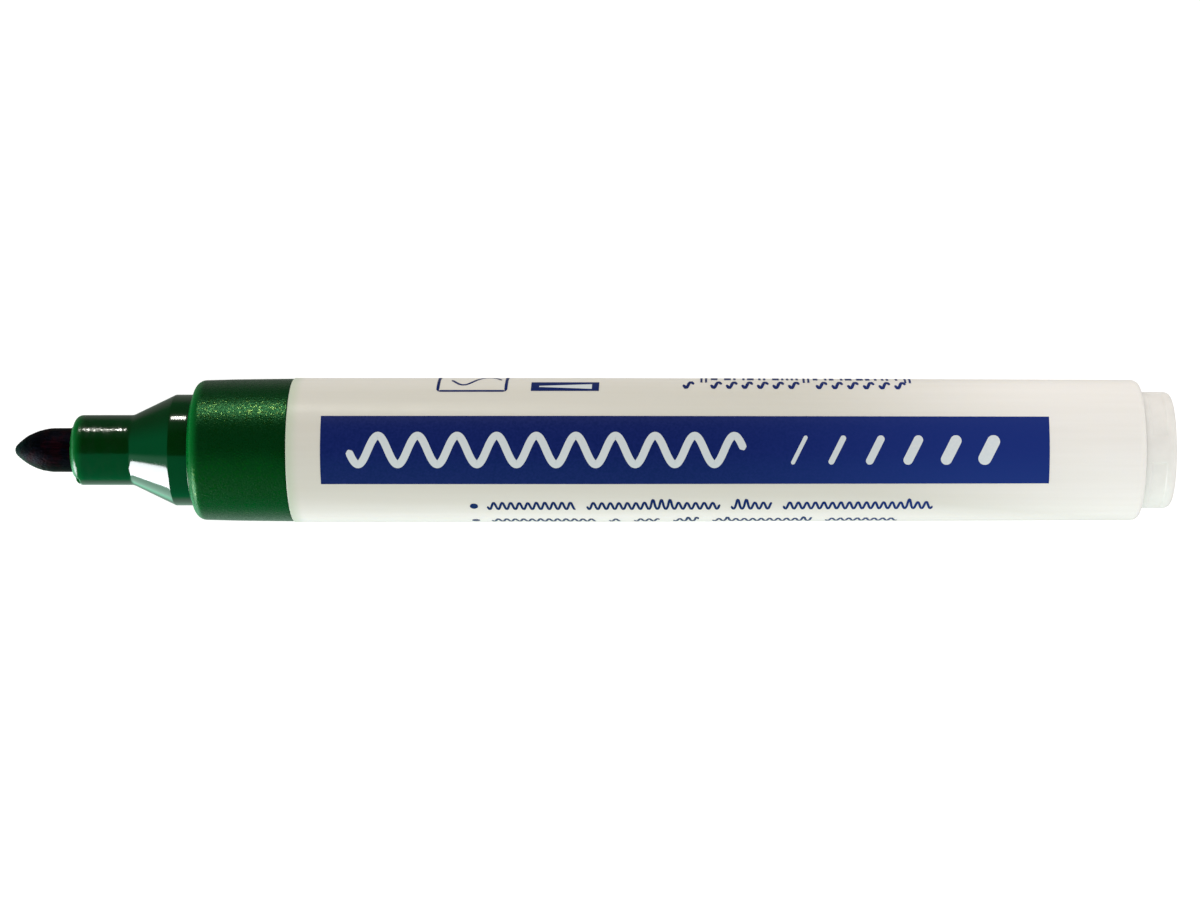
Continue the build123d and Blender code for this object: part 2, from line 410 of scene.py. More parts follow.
def make_plug():
    bore = SPIGOT_R - SPIGOT_WALL
    inner_end = LENGTH - PLUG_END_WALL
    flange = BARREL_END + FLANGE_GAP
    flange_lean = BARREL_END_LEAN * (PLUG_R - PLUG_SEAT_R) / (BARREL_REAR_R - PLUG_SEAT_R)
    corners = [
        (inner_end, 0, 0, 0.4),
        (inner_end, bore, 0.2, 0.4),
        (SPIGOT_START, bore, 0.1, 0.3),
        (SPIGOT_START, SPIGOT_R, 0.25, 0.3),
        (flange, SPIGOT_R, 0, 0.3),
        (flange, PLUG_SEAT_R, 0, 0.1),
        (flange - flange_lean, PLUG_R, 0, 0.07),
        (LENGTH, PLUG_R, PLUG_ROUND, 0.3),
        (LENGTH, DIMPLE_R, 0.08, 0.08),
        (LENGTH - DIMPLE_DEPTH, DIMPLE_R - 0.15, 0.08, 0.3),
        (LENGTH - DIMPLE_DEPTH, 0, 0, 0.4),
    ]
    return lathe("rear_plug", outline(corners, closed=False), PLUG_SEGMENTS, plug_shape, closed=False)


def make_cross():
    """Two crossed blades inside the plug, whose front ends hold the reservoir in place."""
    half = CROSS_WIDTH / 2
    back = LENGTH - PLUG_END_WALL + 0.2
    section = [(-CROSS_R, -half), (CROSS_R, -half), (CROSS_R, half), (-CROSS_R, half)]
    vertices, faces = [], []
    for turn in [math.radians(angle) for angle in CROSS_ANGLES]:
        first = len(vertices)
        for x in (CROSS_START, back):
            for along, side in section:
                y = along * math.sin(turn) + side * math.cos(turn)
                z = along * math.cos(turn) - side * math.sin(turn)
                vertices.append(Vector((TIP_X + x * MM, y * MM, z * MM)))
        front = list(range(first, first + 4))
        rear = list(range(first + 4, first + 8))
        faces += [front, rear[::-1]]
        for i in range(4):
            k = (i + 1) % 4
            faces.append([front[i], rear[i], rear[k], front[k]])
    return add_object("rear_plug_cross", vertices, faces)


# ---------------------------------------------------------------- print
def barrel_radius(x):
    draft = (BARREL_R - BARREL_REAR_R) / (BARREL_END - BARREL_END_LEAN - STRAIGHT_END)
    return BARREL_R - max(0.0, x - STRAIGHT_END) * draft


def arc(angle):
    """Millimetres round the barrel for degrees."""
    return math.radians(angle) * BARREL_R


def rim_of(rows, wide):
    """Places round the rim of a sheet, as (row, column) pairs."""
    rim = [(0, j) for j in range(wide)]
    rim += [(i, wide - 1) for i in range(1, rows)]
    rim += [(rows - 1, j) for j in range(wide - 2, -1, -1)]
    return rim + [(i, 0) for i in range(rows - 2, 0, -1)]


def films(name, sheets, lift=INK):
    """One object of thin closed films. A sheet is a list of equally long rows of (distance, angle) points."""
    vertices, faces = [], []
    for rows in sheets:
        first, wide = len(vertices), len(rows[0])
        for height in (lift, -INK):
            for row in rows:
                vertices += [place(x, barrel_radius(x) + height, angle) for x, angle in row]
        under = len(rows) * wide

        def at(i, j, layer):
            return first + layer * under + i * wide + j

        for i in range(len(rows) - 1):
            for j in range(wide - 1):
                square = ((i, j), (i, j + 1), (i + 1, j + 1), (i + 1, j))
                for layer in (0, 1):
                    faces.append([at(row, column, layer) for row, column in square])
        rim = rim_of(len(rows), wide)
        for (i, j), (k, m) in zip(rim, rim[1:] + rim[:1]):
            faces.append([at(i, j, 0), at(k, m, 0), at(k, m, 1), at(i, j, 1)])
    return add_object(name, vertices, faces)


def patch(x_start, x_end, angle_start, angle_end):
    """Rows of points over a rectangle of the barrel."""
    across = max(2, math.ceil(math.radians(abs(angle_end - angle_start)) * BARREL_R / PATCH_STEP))
    along = max(2, math.ceil((x_end - x_start) / PATCH_STEP))
    rows = []
    for i in range(along + 1):
        x = x_start + (x_end - x_start) * i / along
        rows.append([(x, angle_start + (angle_end - angle_start) * j / across) for j in range(across + 1)])
    return rows


def stroke(points, width, taper=0.5):
    """Rows of points for a pen stroke along (distance, arc) points, with ends rounded over taper widths."""
    rows = []
    count = len(points)
    length = sum((Vector(b) - Vector(a)).length for a, b in zip(points, points[1:]))
    cap = width * taper
    done = 0.0
    for i, point in enumerate(points):
        before, after = Vector(points[max(0, i - 1)]), Vector(points[min(count - 1, i + 1)])
        heading = (after - before).normalized()
        side = Vector((-heading.y, heading.x))
        if i:
            done += (Vector(point) - Vector(points[i - 1])).length
        from_end = min(done, length - done)
        half = width / 2
        if from_end < cap:
            half *= math.sqrt(max(0.03, 1 - (1 - from_end / cap) ** 2))
        spots = [Vector(point) + side * half * share for share in ACROSS_STROKE]
        rows.append([(spot.x, math.degrees(spot.y / BARREL_R)) for spot in spots])
    return rows


def wave(x_start, x_end, centre, height, pitch, step=STROKE_STEP):
    """A wavy line of (distance, arc) points in millimetres."""
    count = math.ceil((x_end - x_start) / step)
    points = []
    for i in range(count + 1):
        x = x_start + (x_end - x_start) * i / count
        points.append((x, centre + height * math.sin(2 * math.pi * (x - x_start) / pitch)))
    return points


def straight(start, end, step=STROKE_STEP):
    start, end = Vector(start), Vector(end)
    count = max(6, math.ceil((end - start).length / step))
    return [tuple(start.lerp(end, i / count)) for i in range(count + 1)]


def make_panel_print():
    return films("print_panel", [patch(*PANEL_PRINT, -PANEL_PRINT_HALF, PANEL_PRINT_HALF)])


def make_panel_marks():
    """Pale marks on the panel: a wavy line, and slanted dashes that go from a fine line to a broad one."""
    swing = arc(MARK_HALF) - MARK_STROKE / 2
    pitch = (WAVY_LINE[1] - WAVY_LINE[0]) / WAVE_COUNT
    sheets = [stroke(wave(*WAVY_LINE, 0, swing, pitch), MARK_STROKE)]
    for i in range(DASH_COUNT):
        x = DASHES[0] + (DASHES[1] - DASHES[0]) * (i + 0.5) / DASH_COUNT
        width = DASH_FINEST + DASH_GROWTH * i / (DASH_COUNT - 1)
        sheets.append(stroke(straight((x - DASH_LEAN, swing), (x + DASH_LEAN, -swing)), width))
    return films("print_marks", sheets, lift=PALE_INK)


def scribble(start, length, centre, shaker):
    """Points of a run of small waves, some of them tall."""
    points = []
    height = TEXT_HALF
    for x, swing in wave(start, start + length, 0, 1.0, TEXT_PITCH, FINE_STROKE_STEP):
        phase = (x - start) / TEXT_PITCH
        if phase % 1 < 0.05:
            height = TEXT_HALF * shaker.choice(TEXT_HEIGHTS)
        lift = height if swing < 0 else TEXT_HALF
        points.append((x, centre + swing * lift))
    return points


def make_line_print():
    """Two lines of small waves behind a dot, in place of the writing."""
    shaker = random.Random(4)
    sheets = []
    for dot_at, angle, lead, runs, gap in LINES:
        centre = -arc(angle)
        dot_ends = (dot_at - DOT_HALF, centre), (dot_at + DOT_HALF, centre)
        sheets.append(stroke(straight(*dot_ends, FINE_STROKE_STEP), DOT_STROKE))
        x = dot_at + lead
        for run in runs:
            sheets.append(stroke(scribble(x, run, centre, shaker), TEXT_STROKE, taper=0.4))
            x += run + gap
    return films("print_lines", sheets)


def box_strokes(x_start, x_end, low, high, width):
    """Four strokes round a box, low and high in degrees."""
    low, high = arc(low), arc(high)
    corners = [(x_start, low), (x_end, low), (x_end, high), (x_start, high)]
    sides = zip(corners, corners[1:] + corners[:1])
    return [stroke(straight(a, b, BOX_STROKE_STEP), width, taper=0.2) for a, b in sides]


def make_icon_print():
    """A box with a wavy line in it, and a filled box for the line's width."""
    sheets = box_strokes(*OPEN_BOX, OPEN_BOX_STROKE)
    line = wave(*BOX_WAVE, arc(BOX_WAVE_ANGLE), BOX_WAVE_HALF, BOX_WAVE[1] - BOX_WAVE[0])
    sheets.append(stroke(line, BOX_WAVE_STROKE))
    sheets.append(patch(*FILLED_BOX))
    return films("print_icons", sheets)


def make_width_mark():
    """A pale wedge in the filled box, thin to thick."""
    rows = []
    for i in range(WEDGE_ROWS + 1):
        x = WEDGE_START + WEDGE_LENGTH * i / WEDGE_ROWS
        half = math.degrees((WEDGE_HALF + WEDGE_GROWTH * i / WEDGE_ROWS) / BARREL_R)
        rows.append([(x, WEDGE_ANGLE + half * share) for share in ACROSS_STROKE])
    return films("print_wedge", [rows], lift=PALE_INK)


def make_bar_print():
    """Upright bars of mixed widths, which stand for no number, over a row of small wavy ticks."""
    shaker = random.Random(11)
    sheets = []
    for start, end in BAR_GROUPS:
        x = start
        while x < end:
            width = shaker.choice(BAR_WIDTHS)
            sheets.append(patch(x, x + width, BAR_TOP, BAR_FOOT))
            x += width + shaker.choice(BAR_GAPS)
    for guard in GUARDS:
        for middle in (guard - GUARD_SPREAD, guard + GUARD_SPREAD):
            sheets.append(patch(middle - GUARD_HALF, middle + GUARD_HALF, BAR_TOP, GUARD_FOOT))
    ticks = [LONE_TICK]
    for first, pitch in TICK_GROUPS:
        ticks += [first + pitch * i for i in range(TICKS_IN_GROUP)]
    for x in ticks:
        ends = x - TICK_HALF, x + TICK_HALF
        line = wave(*ends, arc(TICK_ANGLE), TICK_SWING, 2 * TICK_HALF, FINE_STROKE_STEP)
        sheets.append(stroke(line, TICK_STROKE, taper=0.3))
    return films("print_bars", sheets)


# ---------------------------------------------------------------- colours
def srgb(red, green, blue):
    """A linear colour from 0-255 display values."""
    def linear(value):
        value /= 255
        return value / 12.92 if value <= 0.04045 else ((value + 0.055) / 1.055) ** 2.4
    return (linear(red), linear(green), linear(blue), 1.0)


# Barrel and plug. The barrel's darker tone is partly the reservoir showing through and partly painted shade;
# its lighter tone is the clear plastic and also the painted light at its edges
RESERVOIR_AND_PAINTED_SHADE, CLEAR_PLASTIC_AND_PAINTED_LIGHT = srgb(209, 208, 199), srgb(240, 239, 236)
TINTED_GREEN, FLOW_LINE = srgb(176, 196, 168), srgb(168, 158, 128)
PLUG_CLOUDY, PLUG_CLEAR = srgb(232, 231, 228), srgb(238, 237, 234)

# Front section: its plastic, a painted highlight along the rims of the nose and the sleeve, and the tint of
# the textured part's gloss
POLISHED_DARK, POLISHED_LIGHT = srgb(1, 36, 3), srgb(2, 39, 8)
TEXTURED_DARK, TEXTURED_LIGHT = srgb(0, 39, 10), srgb(0, 43, 14)
RIM_PAINTED_HIGHLIGHT = srgb(0, 114, 44)
GRAIN_GLOSS, FACET_GLOSS = (0.09, 0.64, 0.19, 1), (0.50, 1.0, 0.22, 1)

# Print
INK_DARK, INK_LIT, INK_THIN = srgb(4, 25, 90), srgb(20, 44, 122), srgb(24, 42, 124)
PALE_TINT, PALE_SPECK = srgb(196, 212, 226), srgb(184, 200, 214)

# Nib, in patches of a bluer and a redder black, and its gloss
NIB_BLUE_DARK, NIB_BLUE_LIGHT = srgb(1, 1, 4), srgb(9, 7, 20)
NIB_RED_DARK, NIB_RED_LIGHT = srgb(10, 1, 4), srgb(30, 4, 12)
NIB_POINT = srgb(1, 14, 22)
NIB_BLUE_GLOSS, NIB_RED_GLOSS = (0.6, 0.5, 1.0, 1), (1.0, 0.4, 0.7, 1)

# Reservoir and its film
FIBRE_DARK, FIBRE_LIGHT, FIBRE_BLOTCH = srgb(6, 60, 34), srgb(20, 104, 62), srgb(10, 76, 44)
FILM_DARK, FILM_LIGHT = srgb(120, 170, 145), srgb(176, 206, 190)

# Floor and backdrop, and the room the gloss mirrors: its sides and ends, what lies low, the camera's strip
FLOOR_DARK, FLOOR_LIGHT = (0.50, 0.50, 0.50, 1), (0.53, 0.53, 0.53, 1)
ROOM_DARK, ROOM_LIT, ROOM_ENDS = (0.05, 0.17, 0.09, 1), (0.02, 0.85, 0.33, 1), (0.62, 0.70, 0.64, 1)
BACKDROP_GREY = (0.86, 0.86, 0.86, 1)
LOW_DARK, LOW_LIT, CAMERA_SHADE = (0.22, 0.24, 0.22, 1), (0.5, 0.8, 0.64, 1), (0.0, 0.03, 0.0, 1)


# ---------------------------------------------------------------- material nodes
def fill_socket(tree, socket, value):
    """Links a node's output to the socket, or sets it to a plain value."""
    if isinstance(value, bpy.types.NodeSocket):
        tree.links.new(value, socket)
    else:
        socket.default_value = value


def fill(tree, made, inputs):
    """Fills several of a node's sockets, by their names or numbers."""
    for key, value in inputs.items():
        fill_socket(tree, made.inputs[key], value)


def node(tree, kind, inputs=None, **settings):
    made = tree.nodes.new("ShaderNode" + kind)
    for key, value in settings.items():
        setattr(made, key, value)
    fill(tree, made, inputs or {})
    return made


def maths(tree, operation, *values):
    return node(tree, "Math", dict(enumerate(values)), operation=operation).outputs[0]


def vector_maths(tree, operation, *values):
    return node(tree, "VectorMath", dict(enumerate(values)), operation=operation).outputs[0]


def scaled(tree, vector, factor):
    return node(tree, "VectorMath", {0: vector, "Scale": factor}, operation="SCALE").outputs[0]


def part_of(tree, vector, axis):
    """One coordinate of a vector."""
    return node(tree, "SeparateXYZ", {0: vector}).outputs[axis]


def new_material(name):
    made = bpy.data.materials.new(name)
    made.use_nodes = True
    return made, made.node_tree, made.node_tree.nodes["Principled BSDF"]


def millimetres(tree):
    """The surface point in millimetres, counted from the nib's tip along the marker."""
    spot = node(tree, "TexCoord").outputs["Object"]
    return scaled(tree, vector_maths(tree, "SUBTRACT", spot, (TIP_X, 0, 0)), 1 / MM)


def noise_of(tree, spot, scale, detail=2.0, stretch=(1, 1, 1)):
    """Noise whose grains are about 1/scale millimetres across."""
    stretched = vector_maths(tree, "MULTIPLY", spot, stretch)
    return node(tree, "TexNoise", {"Vector": stretched, "Scale": scale, "Detail": detail}).outputs["Fac"]


def streaks_of(tree, spot, scale):
    """Noise drawn out along the marker, like the flow lines of a moulding."""
    return noise_of(tree, spot, scale, 3.0, stretch=(0.03, 1, 1))


def remap(tree, value, low, high, new_low, new_high, smooth=False):
    kind = "SMOOTHSTEP" if smooth else "LINEAR"
    inputs = {"Value": value, "From Min": low, "From Max": high, "To Min": new_low, "To Max": new_high}
    return node(tree, "MapRange", inputs, interpolation_type=kind).outputs["Result"]


def spread(tree, value, low, high):
    """0 at low, 1 at high, and straight between."""
    return remap(tree, value, low, high, 0.0, 1.0)


def ramp(tree, value, low, high):
    """0 at low, 1 at high, and smooth between."""
    return remap(tree, value, low, high, 0.0, 1.0, smooth=True)


def mix(tree, share, first, second):
    made = node(tree, "Mix", data_type="RGBA")
    sockets = {"Factor": share, "A": first, "B": second}
    for socket in made.inputs:
        if socket.name in sockets and socket.enabled:
            fill_socket(tree, socket, sockets[socket.name])
    return next(out for out in made.outputs if out.enabled)


def bumps(tree, height, depth):
    """A normal for bumps depth millimetres deep."""
    return node(tree, "Bump", {"Height": height, "Distance": depth * MM}).outputs["Normal"]


# ---------------------------------------------------------------- materials
def tone_of_barrel(tree, spot):
    """White, toned down towards the front where the reservoir shows through and as painted shade, lightened
    as painted light at the edges seen aslant, more on the -Y side, and greenish just behind the front
    section.
    """
    along = part_of(tree, spot, "X")
    sideways = part_of(tree, spot, "Y")
    # Darker towards the front: partly the reservoir showing through the milky wall, partly painted shade
    aslant = maths(tree, "MULTIPLY_ADD", sideways, FADE_SLANT, along)
    behind = ramp(tree, aslant, *BARREL_FADE)
    # Painted light: the barrel turns lighter at its edges, where it is seen aslant, and more so on the -Y
    # side
    facing = node(tree, "LayerWeight", {"Blend": 0.5}).outputs["Facing"]
    painted_light_by_side = remap(tree, sideways, -6.0, 6.0, 0.92, 0.45)
    painted_edge_light = maths(tree, "MULTIPLY", facing, painted_light_by_side)
    painted_edge_light = remap(tree, painted_edge_light, 0.12, 0.7, 0.0, 0.9, smooth=True)
    # The clear share is the larger of the reservoir's fade, with its painted shade, and the painted edge
    # light
    clear = maths(tree, "MAXIMUM", behind, painted_edge_light)
    tone = mix(tree, clear, RESERVOIR_AND_PAINTED_SHADE, CLEAR_PLASTIC_AND_PAINTED_LIGHT)
    near_green = remap(tree, along, SEAM, SEAM + 1.6, 0.6, 0.0, smooth=True)
    return mix(tree, near_green, tone, TINTED_GREEN)


def barrel_material():
    """Milky polypropylene with faint flow lines and a worn, slightly uneven gloss."""
    made, tree, shader = new_material("barrel_plastic")
    spot = millimetres(tree)
    lines = remap(tree, streaks_of(tree, spot, 1.3), 0.35, 0.65, 0.0, 0.045)
    fill(tree, shader, {
        # The barrel's tone holds painted shade and painted light
        "Base Color": mix(tree, lines, tone_of_barrel(tree, spot), FLOW_LINE),
        "Roughness": remap(tree, noise_of(tree, spot, 0.5), 0.35, 0.7, 0.33, 0.37),
        "Specular IOR Level": 0.14,
        "Sheen Weight": 0.12,
        "Sheen Roughness": 0.3,
        "Subsurface Weight": 0.2,
        "Subsurface Radius": (1.0, 0.9, 0.7),
        "Subsurface Scale": 1.0 * MM,
        "Normal": bumps(tree, streaks_of(tree, spot, 0.8), 0.001),
    })
    return made


def plug_material():
    """Whiter than the barrel, with more shine and a faint cloudiness."""
    made, tree, shader = new_material("plug_plastic")
    spot = millimetres(tree)
    cloud = spread(tree, noise_of(tree, spot, 0.6, 3.0), 0.3, 0.7)
    fill(tree, shader, {
        "Base Color": mix(tree, cloud, PLUG_CLOUDY, PLUG_CLEAR),
        "Roughness": remap(tree, noise_of(tree, spot, 1.2, 3.0), 0.3, 0.7, 0.32, 0.42),
        "Specular IOR Level": 0.35,
        "Subsurface Weight": 0.2,
        "Subsurface Radius": (1.0, 0.9, 0.8),
        "Subsurface Scale": 1.0 * MM,
        "Normal": bumps(tree, noise_of(tree, spot, 6.0), 0.002),
    })
    return made


def with_painted_rim_highlight(tree, along, start, reach, tone):
    """A tone that turns lighter towards a rim at start: a painted highlight where the rim catches the light.
    """
    share = remap(tree, along, start, start + reach, 1.0, 0.0, smooth=True)
    return mix(tree, share, tone, RIM_PAINTED_HIGHLIGHT)


def polished_green_material():
    """Shiny off the mould, but rubbed in places where the cap slides over the tube."""
    made, tree, shader = new_material("green_polished")
    spot = millimetres(tree)
    along = part_of(tree, spot, "X")
    cloud = spread(tree, noise_of(tree, spot, 0.5, 3.0), 0.3, 0.7)
    tone = mix(tree, cloud, POLISHED_DARK, POLISHED_LIGHT)
    on_tube = remap(tree, along, CONE_START - 1.5, CONE_START, 1.0, 0.15, smooth=True)
    waves = maths(tree, "MULTIPLY", noise_of(tree, spot, 2.4, 3.0), on_tube)
    rubbed = noise_of(tree, spot, 1.5, 3.0, stretch=(1, 0.4, 0.4))
    rubbed = remap(tree, rubbed, 0.42, 0.55, 0.0, 0.07, smooth=True)
    roughness = maths(tree, "ADD", maths(tree, "MULTIPLY", rubbed, on_tube), 0.09)
    on_nose = remap(tree, along, NOSE_START, NOSE_START + 1.3, 0.24, 0.0, smooth=True)
    shine = remap(tree, along, NOSE_START + 0.5, NOSE_START + 1.4, 0.22, 0.5, smooth=True)
    fill(tree, shader, {
        # Painted highlight along the nose's rim, where the light catches the rounding
        "Base Color": with_painted_rim_highlight(tree, along, NOSE_START - 0.1, 1.9, tone),
        "Roughness": maths(tree, "ADD", roughness, on_nose),
        "Specular IOR Level": shine,
        "Normal": bumps(tree, waves, 0.014),
    })
    return made


def textured_green_material():
    """The same plastic with a fine dull grain, which glitters where the lamp catches it."""
    made, tree, shader = new_material("green_textured")
    spot = millimetres(tree)
    along = part_of(tree, spot, "X")
    cloud = spread(tree, noise_of(tree, spot, 0.5, 3.0), 0.3, 0.7)
    tone = mix(tree, cloud, TEXTURED_DARK, TEXTURED_LIGHT)
    grain = noise_of(tree, spot, 5.0, 3.0)
    facets = node(tree, "TexVoronoi", {"Vector": spot, "Scale": 5.0}).outputs["Color"]
    lucky = spread(tree, node(tree, "SeparateColor", {0: facets}).outputs[0], 0.7, 0.9)
    dull = remap(tree, grain, 0.3, 0.7, 0.24, 0.38)
    shine = remap(tree, along, SLEEVE_START + 0.6, SLEEVE_START + 1.3, 0.06, 0.5, smooth=True)
    fill(tree, shader, {
        # Painted highlight along the sleeve's front lip, where the light catches it
        "Base Color": with_painted_rim_highlight(tree, along, SLEEVE_START, 1.7, tone),
        "Roughness": maths(tree, "MULTIPLY_ADD", lucky, -0.16, dull),
        "Specular IOR Level": shine,
        "Specular Tint": mix(tree, lucky, GRAIN_GLOSS, FACET_GLOSS),
        "Normal": bumps(tree, grain, 0.036),
    })
    return made


def ink_material():
    """Screen-printed dark blue, a little uneven in cover, lighter towards the rear, partly where the barrel
    behind it is clear of the reservoir and partly as painted light.
    """
    made, tree, shader = new_material("blue_ink")
    spot = millimetres(tree)
    # Lighter towards the rear: partly the clearer barrel behind the ink, partly painted light
    lit = ramp(tree, part_of(tree, spot, "X"), *INK_FADE)
    tone = mix(tree, lit, INK_DARK, INK_LIT)
    fine = spread(tree, noise_of(tree, spot, 4.0, 3.0), 0.35, 0.65)
    fill(tree, shader, {
        "Base Color": mix(tree, fine, tone, mix(tree, 0.25, tone, INK_THIN)),
        "Roughness": remap(tree, fine, 0.0, 1.0, 0.30, 0.38),
        "Specular IOR Level": 0.12,
        "Normal": bumps(tree, noise_of(tree, spot, 5.0), 0.002),
    })
    return made


def pale_material():
    """The barrel's own plastic where the panel is left open, tinted by the blue round it."""
    made, tree, shader = new_material("open_print")
    spot = millimetres(tree)
    # The barrel's tone brings its painted shade and painted light here too
    tone = mix(tree, 0.45, tone_of_barrel(tree, spot), PALE_TINT)
    fine = remap(tree, noise_of(tree, spot, 3.0, 3.0), 0.3, 0.7, 0.0, 0.3)
    fill(tree, shader, {
        "Base Color": mix(tree, fine, tone, PALE_SPECK),
        "Roughness": remap(tree, fine, 0.0, 0.3, 0.30, 0.4),
        "Specular IOR Level": 0.3,
    })
    return made


def nib_material():
    """Fibre soaked in ink: nearly black, with a purple and a red cast, and a blue-green one at the tip."""
    made, tree, shader = new_material("inked_fibre")
    spot = millimetres(tree)
    threads = noise_of(tree, spot, 6.0, 3.0, stretch=(0.15, 1, 1))
    patches = spread(tree, noise_of(tree, spot, 0.9), 0.42, 0.58)
    dark = mix(tree, patches, NIB_BLUE_DARK, NIB_RED_DARK)
    light = mix(tree, patches, NIB_BLUE_LIGHT, NIB_RED_LIGHT)
    tone = mix(tree, spread(tree, threads, 0.45, 0.75), dark, light)
    at_tip = remap(tree, part_of(tree, spot, "X"), 0.2, 1.8, 0.8, 0.0, smooth=True)
    fill(tree, shader, {
        "Base Color": mix(tree, at_tip, tone, NIB_POINT),
        "Roughness": remap(tree, threads, 0.3, 0.7, 0.34, 0.5),
        "Specular IOR Level": 0.025,
        "Specular Tint": mix(tree, patches, NIB_BLUE_GLOSS, NIB_RED_GLOSS),
        "Normal": bumps(tree, noise_of(tree, spot, 9.0, stretch=(0.3, 1, 1)), 0.04),
    })
    return made


def reservoir_material():
    """Bundled fibre full of green ink."""
    made, tree, shader = new_material("reservoir_fibre")
    spot = millimetres(tree)
    threads = noise_of(tree, spot, 5.0, 3.0, stretch=(0.05, 1, 1))
    blotch = spread(tree, noise_of(tree, spot, 0.4, 3.0), 0.35, 0.65)
    wet = mix(tree, threads, FIBRE_DARK, FIBRE_LIGHT)
    fill(tree, shader, {
        "Base Color": mix(tree, blotch, wet, FIBRE_BLOTCH),
        "Roughness": 0.6,
        "Normal": bumps(tree, threads, 0.05),
    })
    return made


def film_material():
    """The thin wrap round the reservoir, tinted by the ink behind it."""
    made, tree, shader = new_material("film")
    crease = noise_of(tree, millimetres(tree), 0.8, 3.0, stretch=(0.2, 1, 1))
    fill(tree, shader, {
        "Base Color": mix(tree, crease, FILM_DARK, FILM_LIGHT),
        "Roughness": 0.18,
        "Normal": bumps(tree, crease, 0.03),
    })
    return made


def floor_material():
    """A matt floor that glows white when seen from above and pale grey at a slant."""
    made, tree, shader = new_material("floor")
    spot = node(tree, "TexCoord").outputs["Object"]
    grain = node(tree, "TexNoise", {"Vector": spot, "Scale": 40.0, "Detail": 3.0}).outputs["Fac"]
    slant = node(tree, "LayerWeight", {"Blend": 0.5}).outputs["Facing"]
    fill(tree, shader, {
        "Base Color": mix(tree, grain, FLOOR_DARK, FLOOR_LIGHT),
        "Roughness": remap(tree, grain, 0.3, 0.7, 0.75, 0.85),
        "Specular IOR Level": 0.0,
        "Emission Color": (1, 1, 1, 1),
        "Emission Strength": remap(tree, slant, 0.1, 0.28, 0.74, 0.34, smooth=True),
    })
    return made


# ---------------------------------------------------------------- dressing the frame
def wear(piece, *materials):
    """Gives a piece its materials, in slot order."""
    slots = piece.data.materials
    for i, material in enumerate(materials):
        if i < len(slots):
            slots[i] = material
        else:
            slots.append(material)


def add_piece(piece, body, slot, *materials, stands_for=None):
    """Puts a piece in the frame: its materials, the body it rides on and the node it stands for. Its slot is
    not used.
    """
    wear(piece, *materials)
    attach(piece, body)
    if stands_for:
        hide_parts(stands_for)


barrel_plastic, plug_plastic = barrel_material(), plug_material()
greens = polished_green_material(), textured_green_material()
blue_ink, pale_ink = ink_material(), pale_material()

add_piece(make_nib(), "nib", "inked_fibre", nib_material(), stands_for="nib")
add_piece(make_front_section(), "barrel", "green_plastic", *greens, stands_for="front_section")
add_piece(make_barrel(), "barrel", "barrel_plastic", barrel_plastic, stands_for="barrel")
add_piece(make_plug(), "end_plug", "plug_plastic", plug_plastic, stands_for="end_plug")
add_piece(make_cross(), "end_plug", "plug_plastic", plug_plastic)
add_piece(make_panel_print(), "barrel", "barrel_plastic", blue_ink)
add_piece(make_panel_marks(), "barrel", "barrel_plastic", pale_ink)
add_piece(make_line_print(), "barrel", "barrel_plastic", blue_ink)
add_piece(make_icon_print(), "barrel", "barrel_plastic", blue_ink)
add_piece(make_width_mark(), "barrel", "barrel_plastic", pale_ink)
add_piece(make_bar_print(), "barrel", "barrel_plastic", blue_ink)

wear(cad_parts["reservoir_core"], reservoir_material())
wear(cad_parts["reservoir_film"], film_material())


# ---------------------------------------------------------------- floor, light and camera
def make_floor():
    corners = [(-1, -1), (1, -1), (1, 1), (-1, 1)]
    vertices = [Vector((x * FLOOR_HALF, y * FLOOR_HALF, -BARREL_R * MM)) for x, y in corners]
    floor = add_object("floor", vertices, [(0, 1, 2, 3)])
    wear(floor, floor_material())
    floor.visible_diffuse = False
    floor.visible_glossy = False
    floor.visible_shadow = False


def spotlit(tree, way, centre, edge_cosine, full_cosine):
    """1 for directions near centre, falling to 0 where their cosine with it is edge_cosine."""
    cosine = node(tree, "VectorMath", {0: way, 1: centre}, operation="DOT_PRODUCT").outputs["Value"]
    return ramp(tree, cosine, edge_cosine, full_cosine)


# Brighter patches of the room: where each lies, the cosines of its edge and of its full part, and its colour
ROOM_PATCHES = (
    ((-0.84, -0.36, -0.40), 0.76, 0.92, (1.6, 4.2, 2.9, 1)),
    ((-0.64, -0.61, -0.47), 0.945, 0.985, (1.9, 3.3, 2.6, 1)),
    ((-0.80, -0.42, 0.43), 0.950, 0.992, (0.45, 1.65, 0.95, 1)),
)


def camera_shade(tree, way):
    """How far a direction lies in the dark strip overhead, where the camera stands."""
    height = part_of(tree, way, "Z")
    turn = maths(tree, "ARCTAN2", maths(tree, "MULTIPLY", part_of(tree, way, "Y"), -1.0), height)
    past_camera = remap(tree, turn, math.radians(10), math.radians(14), 1.0, 0.0, smooth=True)
    before_camera = ramp(tree, turn, math.radians(-60), math.radians(-30))
    overhead = remap(tree, height, 0.55, 0.8, 0.0, 0.85, smooth=True)
    return maths(tree, "MULTIPLY", maths(tree, "MULTIPLY", past_camera, before_camera), overhead)


def room_seen(tree, way):
    """What the plastic mirrors: a greenish room, bright to the front and to -Y, dark behind and overhead."""
    level = spotlit(tree, way, (-0.70, -0.70, 0.05), -0.1, 0.5)
    tone = mix(tree, level, ROOM_DARK, ROOM_LIT)
    endways = maths(tree, "ABSOLUTE", part_of(tree, way, "X"))
    tone = mix(tree, ramp(tree, endways, 0.90, 0.97), tone, ROOM_ENDS)
    low_tone = mix(tree, level, LOW_DARK, LOW_LIT)
    tone = mix(tree, ramp(tree, part_of(tree, way, "Z"), -0.35, -0.65), tone, low_tone)
    for centre, edge_cosine, full_cosine, colour in ROOM_PATCHES:
        tone = mix(tree, spotlit(tree, way, centre, edge_cosine, full_cosine), tone, colour)
    return mix(tree, camera_shade(tree, way), tone, CAMERA_SHADE)


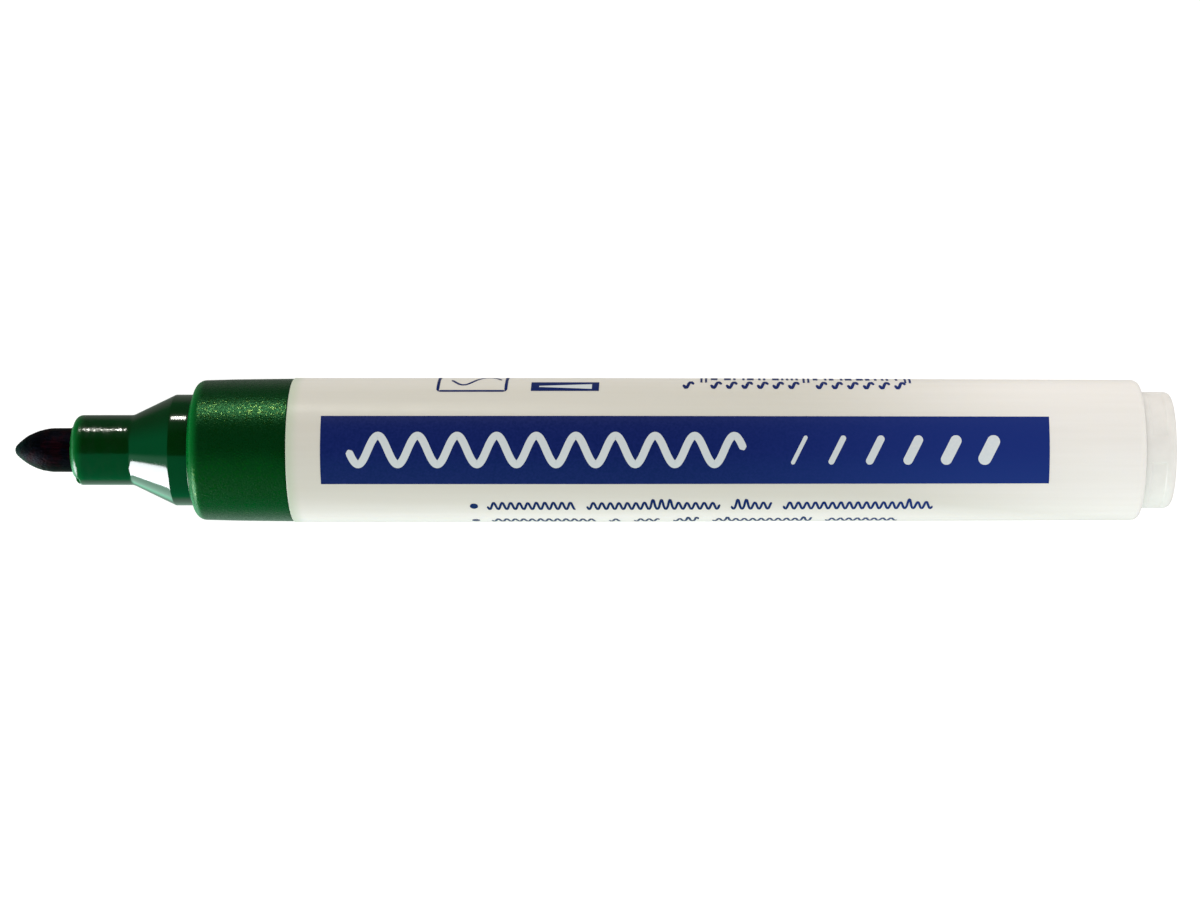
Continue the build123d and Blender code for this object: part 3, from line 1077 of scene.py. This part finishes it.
def room_light(tree, way):
    """The even light of a white tent: strongest from the sides, a little warmer from +Y, least from above."""
    side = part_of(tree, way, "Y")
    parts = (
        scaled(tree, (-0.05, -0.09, -0.11), side),
        scaled(tree, (0.36, 0.36, 0.38), maths(tree, "MULTIPLY", side, side)),
        scaled(tree, (-0.09, -0.08, -0.07), part_of(tree, way, "Z")),
    )
    total = (0.94, 0.915, 0.875)
    for part in parts:
        total = vector_maths(tree, "ADD", part, total)
    return total


def make_world():
    """Lights the marker with one room, shows its gloss another, and shows the camera plain grey."""
    world = bpy.data.worlds.new("studio")
    bpy.context.scene.world = world
    world.use_nodes = True
    tree = world.node_tree
    tree.nodes.clear()
    way = node(tree, "TexCoord").outputs["Generated"]
    ray = node(tree, "LightPath").outputs
    tone = mix(tree, ray["Is Glossy Ray"], room_light(tree, way), room_seen(tree, way))
    tone = mix(tree, ray["Is Camera Ray"], tone, BACKDROP_GREY)
    background = node(tree, "Background", {"Color": tone, "Strength": 1.0})
    node(tree, "OutputWorld", {"Surface": background.outputs[0]})


def add_lamp(name, way, wide, high, radiance, colour):
    """A rectangular lamp, seen in the marker's gloss only. way points from the marker to it."""
    data = bpy.data.lights.new(name, "AREA")
    data.shape, data.size, data.size_y = "RECTANGLE", wide, high
    data.energy = radiance * math.pi * wide * high
    data.color = colour
    lamp = bpy.data.objects.new(name, data)
    bpy.context.scene.collection.objects.link(lamp)
    direction = Vector(way).normalized()
    lamp.location = direction * LAMP_DISTANCE
    lamp.rotation_mode = "QUATERNION"
    lamp.rotation_quaternion = direction.to_track_quat("Z", "Y")
    lamp.visible_camera = False
    lamp.visible_diffuse = False


def make_camera():
    data = bpy.data.cameras.new("camera")
    data.lens, data.shift_x = CAMERA_LENS, CAMERA_SHIFT
    camera = bpy.data.objects.new("camera", data)
    bpy.context.scene.collection.objects.link(camera)
    camera.location = (TIP_X + CAMERA_ALONG * MM, 0, CAMERA_HEIGHT * MM)
    bpy.context.scene.camera = camera


make_floor()
make_world()
add_lamp("window", (-0.776, -0.628, 0.052), wide=0.80, high=0.88, radiance=21.0, colour=(0.95, 0.94, 1.0))
add_lamp("key", (-0.168, 0.926, 0.337), wide=0.085, high=0.13, radiance=210.0, colour=(1.0, 0.98, 0.9))
make_camera()
bpy.context.scene.view_settings.view_transform = "Standard"
